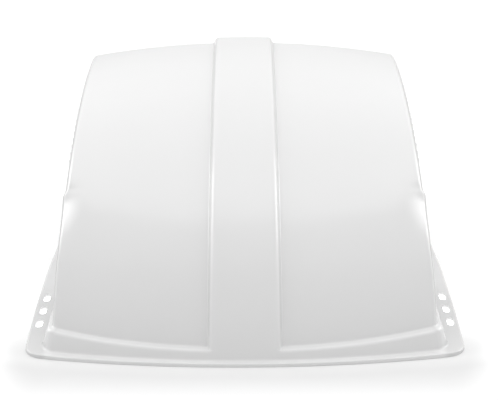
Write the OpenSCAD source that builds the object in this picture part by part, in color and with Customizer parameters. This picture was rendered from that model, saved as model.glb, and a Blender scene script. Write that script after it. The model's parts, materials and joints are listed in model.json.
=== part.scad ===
// Roof vent cover: a ventilated weather hood on four roof brackets.
// The wedge faces the front (-Y), the louvres face the rear (+Y), +X is the right-hand side.
// The origin is on the roof plane, in the middle of the vent that the hood covers.

/* [Hood] */
// Width over the two side flanges
flange_w = 508; // [506:1:512]
// Thickness of the side flanges and of the front lip
flange_t = 4; // [3.5:0.5:5]
// Width of the hood at the roof plane, without the flanges
body_w = 445; // [443:1:447]
// Rear face of the hood, behind the middle of the vent
rear_y = 260; // [256:1:264]
// Wall thickness of the moulding
wall_t = 3; // [2.5:0.25:3.5]
// Foot of the sloping front panels on the centre line, forward of the middle
front_y = -285; // [-290:1:-280]
// Height of the foot of the front panels above the roof plane
front_z = 17; // [15:1:19]
// Slope of the front panels at their foot, degrees
nose_slope = 57; // [55:1:59]
// Slope where the front panels turn into the long roof curve, degrees
brow_slope = 33; // [31:1:35]
// Radius of the front panels in side view
nose_r = 244; // [240:1:250]
// Drop of the roof from its centre line to its edge, at the rear
crown_rear = 20; // [16:1:22]
// Set-back of the front panels from the centre line to the edge, in plan
bow_front = 30; // [26:1:32]
// Front edge of the lip on the centre line
lip_y = -311; // [-316:1:-310]
// Plan radius of the front edge of the lip
lip_r = 1137; // [1100:1:1180]
// Corner radius of the lip
lip_corner_r = 25; // [20:1:30]

/* [Rib and band] */
// Width of the raised centre rib
rib_w = 85; // [80:1:90]
// Height of the rib and of the front band above the panels
rib_h = 8; // [6:1:9]
// How far the plinth stands out from the lower side walls
plinth_out = 6; // [4:0.5:8]
// Rear end of the plinth, behind the middle of the vent
plinth_end_y = 216; // [205:1:220]
// Height of the top of the raised front band and side plinth
band_z = 21; // [20:1:23]

/* [Side walls] */
// Height of the ledge above which the side walls are set in
ledge_z = 127; // [124:1:130]
// How far the upper side walls are set in
ledge_in = 2.8; // [2.4:0.1:3.6]

/* [Flange slots] */
// Width of a bracket slot
slot_w = 8; // [6:0.5:9]
// End-to-end length of a bracket slot
slot_l = 22; // [18:1:24]
// Distance between neighbouring slots
slot_pitch = 37; // [34:1:40]
// Distance of the slots from the middle plane
slot_x = 243.5; // [242:0.5:245]
// Middle slot of the front group, forward of the middle of the vent
slot_front_y = -163; // [-167:1:-155]
// Middle slot of the rear group, behind the middle of the vent
slot_rear_y = 165; // [160:1:170]

/* [Louvres] */
// Half width of the rear louvre window
rear_win_x = 180; // [160:1:184]
// Lower edge of the rear louvre window
rear_win_z0 = 46; // [42:1:60]
// Upper edge of the rear louvre window
rear_win_z1 = 166; // [150:1:170]
// Spacing of the louvre blades
blade_pitch = 15; // [13:1:18]
// Thickness of a louvre blade
blade_t = 1.6; // [1.4:0.1:2]

/* [Brackets and pins] */
// Thickness of the bracket plate
bracket_t = 2.5; // [2:0.5:3]
// Radius of the hinge pins and release pins
pin_r = 4; // [3.5:0.25:4.5]
// Height of the rear hinge axis
hinge_z = 18; // [17:1:20]
// Rear hinge axis, behind the middle of the vent
hinge_y = 242; // [240:1:243]
// Height of the front release pins
latch_z = 44; // [42:1:48]
// Front release pins, behind the middle of the vent
latch_y = 16; // [12:1:20]
// Radius of the screw holes in the bracket feet
foot_hole_r = 2.6; // [2.2:0.1:3]
// Distance between the two screw holes in a bracket foot
foot_hole_pitch = 32; // [28:1:34]

/* [Hidden] */
$fn = 48;
// How far the cutting shapes run past the surfaces they cut
over = 1;

// Side view of the roof on the centre line: two tangent arcs
rear_slope = 0.3;
nose_end_y = front_y + nose_r * (sin(nose_slope) - sin(brow_slope));
nose_end_z = front_z + nose_r * (cos(brow_slope) - cos(nose_slope));
roof_r = (rear_y - nose_end_y) / (sin(brow_slope) - sin(rear_slope));
crown_front = -5;
wall_draft = 0.5;
nose_steps = 5;
roof_steps = 9;
col_steps = 8;

// Slopes at the stations along the roof, from the foot of the nose to the rear
stations = concat(
  [for (i = [0 : nose_steps - 1]) nose_slope + (brow_slope - nose_slope) * i / nose_steps],
  [for (i = [0 : roof_steps]) brow_slope + (rear_slope - brow_slope) * i / roof_steps]
);

function roof_y(a) = a >= brow_slope
  ? front_y + nose_r * (sin(nose_slope) - sin(a))
  : nose_end_y + roof_r * (sin(brow_slope) - sin(a));
function roof_z(a) = a >= brow_slope
  ? front_z + nose_r * (cos(a) - cos(nose_slope))
  : nose_end_z + roof_r * (cos(a) - cos(brow_slope));
// Share of the way from the foot of the nose to the rear
function along(a) = (roof_y(a) - front_y) / (rear_y - front_y);
// Half width of the lower side walls at a height
function half_w(z) = body_w / 2 - z * tan(wall_draft);
// A point of the roof: f runs from -1 at the left edge to 1 at the right, t is the depth below the skin
function edge_drop(a, f) = (crown_front + (crown_rear - crown_front) * along(a)) * f * f;
function edge_back(a, f) = bow_front * (1 - along(a)) * f * f;
function roof_point(a, f, t, side_in) =
  let (z = roof_z(a) - t * cos(a) - edge_drop(a, f))
  [f * (half_w(z) - side_in), min(roof_y(a) + t * sin(a) + edge_back(a, f), rear_y - max(t, 0)), z];
// A point of the nose carried down its slope to the height z0
function foot_point(f, t, side_in, z0) =
  let (p = roof_point(nose_slope, f, t, side_in))
  [f * (half_w(z0) - side_in), p[1] - (p[2] - z0) / tan(nose_slope), z0];

// Solid body of the hood at depth t below its skin
module hood_body(t, side_in, z0) {
  cols = [for (j = [0 : col_steps]) 2 * j / col_steps - 1];
  pts = concat(
    [for (f = cols) foot_point(f, t, side_in, z0)],
    [for (a = stations) for (f = cols) roof_point(a, f, t, side_in)],
    [for (f = [-1, 1]) [f * (half_w(z0) - side_in), rear_y - max(t, 0), z0]]
  );
  hull() polyhedron(points = pts, faces = [[for (i = [0 : len(pts) - 1]) i]]);
}

// Solid under the rib at height h above the panels, running the length of the roof
module rib_body(h, w, z0) {
  foot_y = front_y - h * sin(nose_slope) - (front_z + h * cos(nose_slope) - z0) / tan(nose_slope);
  outline = concat(
    [[foot_y, z0]],
    [for (a = stations) [min(roof_y(a) - h * sin(a), rear_y + min(h - rib_h, 0)), roof_z(a) + h * cos(a)]],
    [[rear_y + min(h - rib_h, 0), z0]]
  );
  translate([-w / 2, 0, 0]) rotate([90, 0, 90]) linear_extrude(w) polygon(outline);
}

// Front band and side plinth below the height top, level with the rib at the front
module band_body(h, side_out, z0, top, end_y) {
  intersection() {
    hood_body(-h, -side_out, z0);
    translate([-body_w, 2 * front_y, z0 - over]) cube([2 * body_w, end_y - 2 * front_y, top - z0 + over]);
  }
}

// Plan of the lip and side flanges
flange_end_y = hinge_y - 2;
lip_centre_y = lip_y + lip_r;
corner_x = flange_w / 2 - lip_corner_r;
corner_y = lip_centre_y - sqrt(pow(lip_r - lip_corner_r, 2) - corner_x * corner_x);
module flange_plate() {
  linear_extrude(flange_t) {
    intersection() {
      translate([0, lip_centre_y]) circle(r = lip_r, $fn = 360);
      translate([-corner_x, lip_y - over]) square([2 * corner_x, corner_y - lip_y + over]);
    }
    for (s = [-1, 1]) translate([s * corner_x, corner_y]) circle(r = lip_corner_r);
    translate([-flange_w / 2, corner_y]) square([flange_w, flange_end_y - corner_y]);
  }
}

module x_cylinder(r, x0, x1) {
  translate([x0, 0, 0]) rotate([0, 90, 0]) cylinder(r = r, h = x1 - x0);
}

module y_cylinder(r, y0, y1) {
  translate([0, y1, 0]) rotate([90, 0, 0]) cylinder(r = r, h = y1 - y0);
}

module on_side(s) {
  mirror([s < 0 ? 1 : 0, 0, 0]) children();
}

// Set-in upper side walls: a frame with x outward, y to the rear and z up the wall
upper_draft = 1.3;
upper_x = half_w(ledge_z) - ledge_in;
notch_out = 60;
module on_upper_wall() {
  translate([upper_x, 0, ledge_z]) rotate([0, -upper_draft, 0]) children();
}

module upper_notch(t) {
  on_upper_wall()
    translate([-t, front_y, -t])
      cube([notch_out, rear_y - front_y + wall_t, roof_z(rear_slope)]);
}

// Side louvre window, grown by m on every side
side_win_y0 = -40;
side_win_y1 = 236;
side_win_z0 = 11;
side_win_below = 17;
function edge_y(a) = roof_point(a, 1, 0, 0)[1];
function edge_z(a) = roof_point(a, 1, 0, 0)[2] - ledge_z;
module side_window(m) {
  intersection() {
    translate([side_win_y0 - m, side_win_z0 - m])
      square([side_win_y1 - side_win_y0 + 2 * m, ledge_z]);
    polygon(concat(
      [for (a = stations) if (edge_z(a) > 0) [edge_y(a), edge_z(a) - side_win_below + m]],
      [[rear_y + over, -side_win_below], [front_y, -side_win_below]]
    ));
  }
}
module side_slab(x0, x1) {
  on_upper_wall() translate([x0, 0, 0]) rotate([90, 0, 90]) linear_extrude(x1 - x0) children();
}

// Screws of a side louvre panel, in the frame of the upper wall
side_screws = [[-46, 6], [98, 5], [241, 36]];
screw_r = 2;
screw_gap = 0.05;
// Skin left in front of the blind screw holes
screw_skin = 0.6;
rear_inner_y = rear_y - wall_t;
module side_screw_holes(r, x0, x1) {
  on_upper_wall() for (p = side_screws) translate([0, p[0], p[1]]) x_cylinder(r, x0, x1);
}

// Rear louvre window, grown by m on every side
module rear_window(m) {
  translate([-rear_win_x - m, rear_win_z0 - m])
    square([2 * (rear_win_x + m), rear_win_z1 - rear_win_z0 + 2 * m]);
}
module rear_slab(y0, y1) {
  translate([0, y1, 0]) rotate([90, 0, 0]) linear_extrude(y1 - y0) children();
}
rear_rim = 12;
rear_screws = [
  for (x = [-1, 0, 1]) for (z = [rear_win_z0 - rear_rim / 2, rear_win_z1 + rear_rim / 2])
    [x * (rear_win_x - rear_rim / 2), z]
];
module rear_screw_holes(r, y0, y1) {
  for (p = rear_screws) translate([p[0], 0, p[1]]) y_cylinder(r, y0, y1);
}

bush_r = 6;
bush_gap = 0.05;
pin_gap = 0.05;
relief_r = hinge_z;
module pin_stations() {
  translate([0, hinge_y, hinge_z]) children();
  translate([0, latch_y, latch_z]) children();
}

slot_run = slot_l - slot_w;
module slots(y0) {
  for (i = [-1 : 1]) translate([slot_x, y0 + i * slot_pitch, -over]) {
    for (e = [-1, 1]) translate([0, e * slot_run / 2, 0]) cylinder(r = slot_w / 2, h = flange_t + 2 * over);
    translate([-slot_w / 2, -slot_run / 2, 0]) cube([slot_w, slot_run, flange_t + 2 * over]);
  }
}

module hood_shell() {
  color("white") difference() {
    union() {
      difference() {
        hood_body(0, 0, 0);
        for (s = [-1, 1]) on_side(s) upper_notch(0);
      }
      band_body(rib_h, plinth_out, 0, band_z, plinth_end_y);
      rib_body(rib_h, rib_w, 0);
      flange_plate();
    }
    difference() {
      hood_body(wall_t, wall_t, -over);
      for (s = [-1, 1]) on_side(s) upper_notch(wall_t);
    }
    band_body(rib_h - wall_t, plinth_out - wall_t, -over, band_z - wall_t, plinth_end_y - wall_t);
    rib_body(rib_h - wall_t, rib_w - 2 * wall_t, -over);
    // Rounded heel that clears the roof as the hood tips back
    difference() {
      translate([-flange_w / 2, hinge_y, -over]) cube([flange_w, 2 * relief_r, hinge_z + over]);
      translate([0, hinge_y, hinge_z]) x_cylinder(relief_r, -flange_w / 2, flange_w / 2);
    }
    translate([wall_t - half_w(0), rear_inner_y - over, -over])
      cube([2 * (half_w(0) - wall_t), wall_t + 2 * over, hinge_z + over]);
    rear_slab(rear_inner_y - over, rear_y + over) rear_window(0);
    rear_screw_holes(screw_r + screw_gap, rear_inner_y - over, rear_y - screw_skin);
    for (s = [-1, 1]) on_side(s) {
      side_slab(-wall_t - over, wall_t) side_window(0);
      side_screw_holes(screw_r + screw_gap, -wall_t - over, -screw_skin);
      pin_stations() x_cylinder(bush_r + bush_gap, half_w(0) - 2 * wall_t, half_w(0) + wall_t);
      slots(slot_front_y);
      slots(slot_rear_y);
    }
  }
}

louvre_t = 2;
seat_gap = 0.2;
// Gap between the ends of the louvre blades and the edge of the window
blade_end_gap = 0.6;
rear_plate_y1 = rear_inner_y - seat_gap;
rear_plate_y0 = rear_plate_y1 - louvre_t;
rear_blade_w = 12;
rear_blade_tilt = 50;
mullion_w = 3;
module rear_louvre_panel() {
  blades = floor((rear_win_z1 - rear_win_z0) / blade_pitch);
  color("whitesmoke") difference() {
    union() {
      rear_slab(rear_plate_y0, rear_plate_y1) difference() {
        rear_window(rear_rim);
        rear_window(0);
      }
      intersection() {
        for (i = [0 : blades]) translate([-rear_win_x - over, rear_plate_y0, rear_win_z0 + i * blade_pitch])
          rotate([-rear_blade_tilt, 0, 0])
            translate([0, 0, -blade_t / 2]) cube([2 * (rear_win_x + over), rear_blade_w, blade_t]);
        rear_slab(rear_plate_y0, rear_y + rear_blade_w) rear_window(-blade_end_gap);
      }
      for (x = [-1 : 0.5 : 1])
        translate([x * (rear_win_x - over) - mullion_w / 2, rear_plate_y0, rear_win_z0 - over])
          cube([mullion_w, louvre_t, rear_win_z1 - rear_win_z0 + 2 * over]);
    }
    rear_screw_holes(screw_r + screw_gap, rear_plate_y0 - over, rear_plate_y1 + over);
  }
}

screen_t = 0.8;
rear_screen_y1 = rear_plate_y0 - seat_gap;
rear_screen_y0 = rear_screen_y1 - screen_t;
module rear_insect_screen() {
  color("dimgray") difference() {
    rear_slab(rear_screen_y0, rear_screen_y1) rear_window(rear_rim - 1);
    rear_screw_holes(screw_r + screw_gap, rear_screen_y0 - over, rear_screen_y1 + over);
  }
}

rear_frame_t = 3;
rear_frame_y1 = rear_screen_y0 - seat_gap;
rear_frame_y0 = rear_frame_y1 - rear_frame_t;
module rear_screen_frame() {
  color("gainsboro") difference() {
    rear_slab(rear_frame_y0, rear_frame_y1) difference() {
      rear_window(rear_rim - 1);
      rear_window(0);
    }
    rear_screw_holes(screw_r + screw_gap, rear_frame_y0 - over, rear_frame_y1 + over);
  }
}

head_r = 3.8;
head_h = 2.2;
module screen_screws() {
  color("silver") for (p = rear_screws) translate([p[0], 0, p[1]]) {
    y_cylinder(screw_r, rear_frame_y0 - over, rear_y - over);
    y_cylinder(head_r, rear_frame_y0 - seat_gap - head_h, rear_frame_y0 - seat_gap);
  }
}

side_rim = 9;
side_plate_x1 = -wall_t - seat_gap;
side_plate_x0 = side_plate_x1 - louvre_t;
side_blade_w = 11;
side_blade_tilt = 40;
side_blade_pitch = 15;
first_blade = 6;
mullion_z = 30;
module side_louvre_panel() {
  color("whitesmoke") difference() {
    union() {
      side_slab(side_plate_x0, side_plate_x1) difference() {
        side_window(side_rim);
        side_window(0);
      }
      intersection() {
        on_upper_wall() for (y = [side_win_y0 + first_blade : side_blade_pitch : side_win_y1])
          translate([side_plate_x0, y, 0]) rotate([0, 0, side_blade_tilt])
            translate([0, -blade_t / 2, 0]) cube([side_blade_w, blade_t, ledge_z]);
        side_slab(side_plate_x0, wall_t) side_window(-blade_end_gap);
      }
      side_slab(side_plate_x0, side_plate_x1) difference() {
        side_window(over);
        side_window(-louvre_t);
      }
      intersection() {
        on_upper_wall() translate([side_plate_x0, side_win_y0 - over, mullion_z])
          cube([louvre_t, side_win_y1 - side_win_y0 + 2 * over, mullion_w]);
        side_slab(side_plate_x0, side_plate_x1) side_window(over);
      }
    }
    side_screw_holes(screw_r + screw_gap, side_plate_x0 - over, side_plate_x1 + over);
  }
}

side_screen_x1 = side_plate_x0 - seat_gap;
side_screen_x0 = side_screen_x1 - screen_t;
module side_insect_screen() {
  color("dimgray") difference() {
    side_slab(side_screen_x0, side_screen_x1) side_window(side_rim - 1);
    side_screw_holes(screw_r + screw_gap, side_screen_x0 - over, side_screen_x1 + over);
  }
}

module side_louvre_screws() {
  color("silver") for (s = [-1, 1]) on_side(s) {
    side_screw_holes(screw_r, side_screen_x0 - over, -over);
    side_screw_holes(head_r, side_screen_x0 - seat_gap - head_h, side_screen_x0 - seat_gap);
  }
}

bush_x0 = half_w(0) - wall_t - 1;
bush_x1 = half_w(0) + 1.5;
bush_flange_r = 9;
module bushing() {
  color("ivory") difference() {
    union() {
      x_cylinder(bush_r, bush_x0, bush_x1);
      x_cylinder(bush_flange_r, half_w(0), bush_x1);
    }
    x_cylinder(pin_r + pin_gap, bush_x0 - over, bush_x1 + over);
  }
}

// Bracket legs stand inside the hood, clear of its side walls
leg_x1 = half_w(0) - wall_t - 4.5;
leg_x0 = leg_x1 - bracket_t;
foot_w = 36;
foot_x0 = leg_x1 - foot_w;
foot_hole_x = leg_x1 - 20;
foot_end = 9;
foot_l = foot_hole_pitch + 2 * foot_end;
module bracket(y, z, leg_half, foot_y1) {
  color("lightgray") difference() {
    union() {
      translate([foot_x0, foot_y1 - foot_l, 0]) cube([foot_w, foot_l, bracket_t]);
      translate([leg_x0, y - leg_half, 0]) cube([bracket_t, 2 * leg_half, z]);
      translate([0, y, z]) x_cylinder(leg_half, leg_x0, leg_x1);
    }
    translate([0, y, z]) x_cylinder(pin_r + pin_gap, leg_x0 - over, leg_x1 + over);
    for (i = [-1, 1]) translate([foot_hole_x, foot_y1 - foot_l / 2 + i * foot_hole_pitch / 2, -over])
      cylinder(r = foot_hole_r, h = bracket_t + 2 * over);
  }
}
rear_leg_half = 8;
front_leg_half = 12;
module front_bracket() {
  bracket(latch_y, latch_z, front_leg_half, latch_y + foot_l / 2);
}
module rear_bracket() {
  bracket(hinge_y, hinge_z, rear_leg_half, hinge_y + rear_leg_half);
}

spacer_t = 3;
spacer_gap = 0.1;
spacer_x0 = leg_x1 + spacer_gap;
module hinge_spacer() {
  translate([0, hinge_y, hinge_z]) difference() {
    x_cylinder(rear_leg_half, spacer_x0, spacer_x0 + spacer_t);
    x_cylinder(pin_r + 2 * pin_gap, spacer_x0 - over, spacer_x0 + spacer_t + over);
  }
}

clip_r = 1;
clip_gap = 0.2;
clip_x = leg_x0 - 5;
pin_tail = 5;
pin_head_r = 7.5;
pin_head_t = 3;
head_gap = 0.2;
module hinge_pin() {
  color("silver") translate([0, hinge_y, hinge_z]) difference() {
    union() {
      x_cylinder(pin_r, clip_x - pin_tail, bush_x1 + head_gap + pin_head_t);
      x_cylinder(pin_head_r, bush_x1 + head_gap, bush_x1 + head_gap + pin_head_t);
    }
    translate([clip_x, 0, 0]) y_cylinder(clip_r + clip_gap, -pin_r - over, pin_r + over);
  }
}

// Hairpin: a straight leg through the pin, a loop, and a spring leg over the top of the pin
clip_back = -18;
clip_tip = 7;
clip_short = 2;
clip_rise = (pin_r + clip_r + clip_gap) / 2;
module hairpin_clip() {
  color("gray") translate([clip_x, hinge_y, hinge_z]) {
    y_cylinder(clip_r, clip_back, clip_tip);
    translate([0, 0, 2 * clip_rise]) y_cylinder(clip_r, clip_back, clip_tip - clip_short);
    translate([0, clip_back, clip_rise]) rotate([90, 0, 90])
      rotate_extrude(angle = 180, start = 90) translate([clip_rise, 0]) circle(r = clip_r);
  }
}

// Release pins stand drawn back out of their brackets, with the tip held in the bushing
latch_travel = 6.5;
release_tip_x = leg_x1 + 1;
release_head_x = bush_x1 + latch_travel + head_gap;
release_head_t = 2.5;
tip_l = 1.5;
tip_r = pin_r - 1.2;
tab_t = 2.5;
tab_r = 4;
tab_x0 = release_head_x + release_head_t / 2;
eye_r = 1.7;
eye_x = release_head_x + 5.5;
module release_pin() {
  color("silver") translate([0, latch_y, latch_z]) difference() {
    union() {
      x_cylinder(pin_r, release_tip_x + tip_l, tab_x0);
      translate([release_tip_x, 0, 0]) rotate([0, 90, 0]) cylinder(r1 = tip_r, r2 = pin_r, h = tip_l);
      x_cylinder(pin_head_r, release_head_x, release_head_x + release_head_t);
      translate([tab_x0, -tab_t / 2, -tab_r]) cube([eye_x - tab_x0, tab_t, 2 * tab_r]);
      translate([eye_x, 0, 0]) y_cylinder(tab_r, -tab_t / 2, tab_t / 2);
    }
    translate([eye_x, 0, 0]) y_cylinder(eye_r, -tab_t, tab_t);
  }
}

ring_r = 8;
ring_wire_r = 1.1;
module pull_ring() {
  color("gray") translate([eye_x, latch_y, latch_z - ring_r]) rotate([0, 90, 0])
    rotate_extrude() translate([ring_r, 0]) circle(r = ring_wire_r);
}

hood_shell();
rear_louvre_panel();
on_side(-1) side_louvre_panel();  // left_louvre_panel
on_side(1) side_louvre_panel();  // right_louvre_panel
rear_insect_screen();
on_side(-1) side_insect_screen();  // left_insect_screen
on_side(1) side_insect_screen();  // right_insect_screen
rear_screen_frame();
screen_screws();
side_louvre_screws();
on_side(-1) translate([0, hinge_y, hinge_z]) bushing();  // left_hinge_bushing
on_side(1) translate([0, hinge_y, hinge_z]) bushing();  // right_hinge_bushing
on_side(-1) translate([0, latch_y, latch_z]) bushing();  // left_latch_bushing
on_side(1) translate([0, latch_y, latch_z]) bushing();  // right_latch_bushing
on_side(-1) front_bracket();  // left_front_bracket
on_side(1) front_bracket();  // right_front_bracket
on_side(-1) rear_bracket();  // left_rear_bracket
on_side(1) rear_bracket();  // right_rear_bracket
on_side(-1) hinge_pin();  // left_hinge_pin
on_side(1) hinge_pin();  // right_hinge_pin
color("ivory") for (s = [-1, 1]) on_side(s) hinge_spacer();  // hinge_spacers
on_side(-1) hairpin_clip();  // left_hairpin_clip
on_side(1) hairpin_clip();  // right_hairpin_clip
on_side(-1) release_pin();  // left_release_pin
on_side(1) release_pin();  // right_release_pin
on_side(-1) pull_ring();  // left_pull_ring
on_side(1) pull_ring();  // right_pull_ring
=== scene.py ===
import json
import math

import bmesh
import bpy
import numpy as np
from mathutils import Matrix, Vector


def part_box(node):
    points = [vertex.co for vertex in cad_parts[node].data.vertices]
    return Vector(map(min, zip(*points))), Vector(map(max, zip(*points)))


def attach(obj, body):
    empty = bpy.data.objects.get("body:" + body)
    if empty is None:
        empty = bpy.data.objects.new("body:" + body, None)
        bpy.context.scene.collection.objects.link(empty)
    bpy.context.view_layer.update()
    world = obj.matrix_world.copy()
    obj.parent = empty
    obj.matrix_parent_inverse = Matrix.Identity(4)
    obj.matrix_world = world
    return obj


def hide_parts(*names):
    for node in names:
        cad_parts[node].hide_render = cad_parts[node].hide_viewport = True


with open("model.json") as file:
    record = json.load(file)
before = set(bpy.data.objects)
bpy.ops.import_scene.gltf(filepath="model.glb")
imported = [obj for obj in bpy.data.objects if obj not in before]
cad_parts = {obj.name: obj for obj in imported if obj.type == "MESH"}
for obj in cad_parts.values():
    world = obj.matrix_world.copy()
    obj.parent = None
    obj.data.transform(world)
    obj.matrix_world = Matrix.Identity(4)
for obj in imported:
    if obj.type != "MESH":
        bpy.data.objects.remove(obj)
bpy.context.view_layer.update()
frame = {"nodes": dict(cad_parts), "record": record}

# Roof vent cover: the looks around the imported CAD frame.
# Sizes are in millimetres in the shape functions and in metres in materials, lights and stage.
MM = 0.001


def box_mm(node):
    """Lowest and highest corner of a CAD node, in millimetres."""
    low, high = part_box(node)
    return np.array(low) / MM, np.array(high) / MM


HOOD_LOW, HOOD_HIGH = box_mm("hood_shell")

# Sizes that the CAD hood has too
LIP_Y = HOOD_LOW[1]
REAR_Y = 260.0
FLANGE_HALF = HOOD_HIGH[0]
FLANGE_T = 4.0
FLANGE_END_Y = 240.0
WALL_T = 3.0
BODY_HALF = 222.5
WALL_DRAFT = math.radians(0.5)
FRONT_Y = -285.0
FRONT_Z = 17.0
NOSE_SLOPE = math.radians(57)
BROW_SLOPE = math.radians(33)
REAR_SLOPE = math.radians(0.3)
NOSE_R = 244.0
CROWN_FRONT = -5.0
CROWN_REAR = 20.0
BOW_FRONT = 30.0
LIP_R = 1137.0
LIP_CORNER_R = 25.0
RIB_H = 8.0
LEDGE_Z = 127.0
LEDGE_IN = 2.8
UPPER_DRAFT = math.radians(1.3)
PLINTH_OUT = 6.0
PLINTH_END_Y = 216.0
HINGE_Y = 242.0
HINGE_Z = 18.0
# Plate thickness of the side louvre panels, and the gap between seated parts
PANEL_T = 2.0
SEAT_GAP = 0.2

# Half width of the rib at its top and its foot
RIB_TOP_HALF = 38.4
RIB_FOOT_HALF = 42.3
# Rounding of the roof edge, growing from the front to the rear
SHOULDER_R_FRONT = 5.0
SHOULDER_R_REAR = 11.0
REAR_EDGE_R = 3.5
# The roof edge rolls down over this width, most strongly a little behind the start of the ledge
ROLL_SLOPE = 0.50
ROLL_W = 30.0
ROLL_SHIFT = 4.0
ROLL_REACH_FRONT = 42.0
ROLL_REACH_REAR = 22.0
# The upper wall sets in while the wall's top rises by this much past the ledge
SET_IN_RISE = 7.0
# Foot of the roof: its height in the middle, the step above it, and how far it dips forward in the middle
FOOT_Z = 18.9
STEP_RISE = 4.0
FOOT_DIP = 3.4
# The plinth fades out over a short length; behind it the wall ends in a plain edge
PLINTH_SLOPE = math.radians(80)
PLINTH_END_RUN = 10.0
HEEL_SLOPE = math.radians(89.5)
HEEL_EDGE = 0.4
# The lower body is a little narrower over the nose
TAPER_IN = 1.2
TAPER_FROM = -175.0
TAPER_TO = -115.0
# The side edges of the flange are bowed to the front and the rear of their widest stretch
FLANGE_WIDE_Y = (-115.0, -60.0)
FLANGE_BOW_R = (4500.0, 1500.0)
FLANGE_BOW_MAX = 2.8
FLANGE_END_R = 31.5

NOSE_END_Y = FRONT_Y + NOSE_R * (math.sin(NOSE_SLOPE) - math.sin(BROW_SLOPE))
NOSE_END_Z = FRONT_Z + NOSE_R * (math.cos(BROW_SLOPE) - math.cos(NOSE_SLOPE))
ROOF_R = (REAR_Y - NOSE_END_Y) / (math.sin(BROW_SLOPE) - math.sin(REAR_SLOPE))
LIP_CENTRE_Y = LIP_Y + LIP_R


def smoothstep(x):
    """0 below 0, 1 above 1, smooth between."""
    x = np.clip(x, 0.0, 1.0)
    return x * x * (3.0 - 2.0 * x)


def roof_slope(y):
    """Slope of the roof in side view, at y on the centre line."""
    if y < NOSE_END_Y:
        return math.asin(math.sin(NOSE_SLOPE) - (y - FRONT_Y) / NOSE_R)
    return math.asin(math.sin(BROW_SLOPE) - (y - NOSE_END_Y) / ROOF_R)


def roof_height(y):
    """Height of the panels on the centre line."""
    a = roof_slope(y)
    if y < NOSE_END_Y:
        return FRONT_Z + NOSE_R * (math.cos(a) - math.cos(NOSE_SLOPE))
    return NOSE_END_Z + ROOF_R * (math.cos(a) - math.cos(BROW_SLOPE))


def along(y):
    """Share of the way from the front of the roof to its rear."""
    return (y - FRONT_Y) / (REAR_Y - FRONT_Y)


def crown(y):
    """How much lower the roof is at its sides than in the middle."""
    return CROWN_FRONT + (CROWN_REAR - CROWN_FRONT) * along(y)


def bow(y):
    """How much further back a cross line of the roof lies at its sides than in the middle."""
    return BOW_FRONT * (1.0 - along(y))


def lower_half(z, y=REAR_Y):
    """Half width of the lower body, which is a little narrower over the nose."""
    nose = 1.0 - float(smoothstep((y - TAPER_FROM) / (TAPER_TO - TAPER_FROM)))
    return BODY_HALF - z * math.tan(WALL_DRAFT) - TAPER_IN * nose


def upper_half(z):
    return lower_half(LEDGE_Z) - LEDGE_IN - (z - LEDGE_Z) * math.tan(UPPER_DRAFT)


def shoulder_radius(y):
    return SHOULDER_R_FRONT + (SHOULDER_R_REAR - SHOULDER_R_FRONT) * along(y)


def edge_height(y):
    return roof_height(y) - crown(y)


def solve(fn, goal, low, high):
    """Where a rising function reaches a value."""
    for _ in range(50):
        mid = 0.5 * (low + high)
        if fn(mid) < goal:
            low = mid
        else:
            high = mid
    return 0.5 * (low + high)


LEDGE_START_Y = solve(edge_height, LEDGE_Z, FRONT_Y, REAR_Y)


def roll_slope(y):
    """Extra outward slope of the roof at its edge, where it rolls down to meet the front of the ledge."""
    away = y - LEDGE_START_Y - ROLL_SHIFT
    reach = ROLL_REACH_FRONT if away < 0 else ROLL_REACH_REAR
    return ROLL_SLOPE * math.exp(-((away / reach) ** 2))


def edge_half(y):
    """Half width at the roof edge: the lower wall in front, the set-in upper wall above the ledge."""
    z = edge_height(y)
    wall_top = z - shoulder_radius(y) - 0.5 * ROLL_W * roll_slope(y)
    g = float(smoothstep((wall_top - LEDGE_Z) / SET_IN_RISE + 0.5))
    return lower_half(z, y) * (1.0 - g) + upper_half(z) * g


def rounded(points, cuts, steps, straight):
    """A polyline with its inner corners rounded. cuts holds the length cut off at each inner corner,
    steps the points on each rounding, and straight how many more points divide each straight part."""
    points = [np.asarray(p, float) for p in points]
    out = [points[0]]
    last = points[0]
    for i in range(1, len(points) - 1):
        before, here, after = points[i - 1], points[i], points[i + 1]
        d0, d1 = np.linalg.norm(here - before), np.linalg.norm(after - here)
        c0, c1 = min(cuts[i - 1], 0.48 * d0), min(cuts[i - 1], 0.48 * d1)
        start = here + (before - here) * (c0 / d0 if d0 > 1e-9 else 0.0)
        stop = here + (after - here) * (c1 / d1 if d1 > 1e-9 else 0.0)
        for k in range(1, straight[i - 1] + 1):
            out.append(last + (start - last) * k / (straight[i - 1] + 1))
        for k in range(steps[i - 1] + 1):
            t = k / steps[i - 1]
            out.append((1 - t) ** 2 * start + 2 * t * (1 - t) * here + t * t * stop)
        last = stop
    for k in range(1, straight[-1] + 1):
        out.append(last + (points[-1] - last) * k / (straight[-1] + 1))
    out.append(points[-1])
    return out


# Cross-section of the rib: distance from the middle plane and rise above the panels
RIB_SECTION = rounded([(0, RIB_H), (RIB_TOP_HALF, RIB_H), (RIB_FOOT_HALF, 0), (52, 0)],
                      cuts=[4.2, 1.4], steps=[8, 4], straight=[3, 1, 1])
PANEL_STEPS = 18
FILLET_STEPS = 10


def roof_point(y, x, rise):
    """A point of the roof at the distance x from the middle plane, raised by rise square to the roof."""
    a = roof_slope(y)
    f = x / lower_half(roof_height(y), y)
    over = max(x - edge_half(y) + ROLL_W, 0.0) / ROLL_W
    drop = crown(y) * f * f + 0.5 * ROLL_W * roll_slope(y) * over * over
    back = bow(y) * f * f
    return np.array([x, y + back - rise * math.sin(a), roof_height(y) - drop + rise * math.cos(a)])


def shoulder_turn(y):
    """Outward slope angle at which the rounding of the roof edge begins."""
    half = lower_half(roof_height(y), y)
    return math.atan(2.0 * max(crown(y), 0.0) / half + 0.7 * roll_slope(y))


def shoulder_x(y):
    return edge_half(y) - shoulder_radius(y) * (1.0 - math.sin(shoulder_turn(y)))


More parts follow.
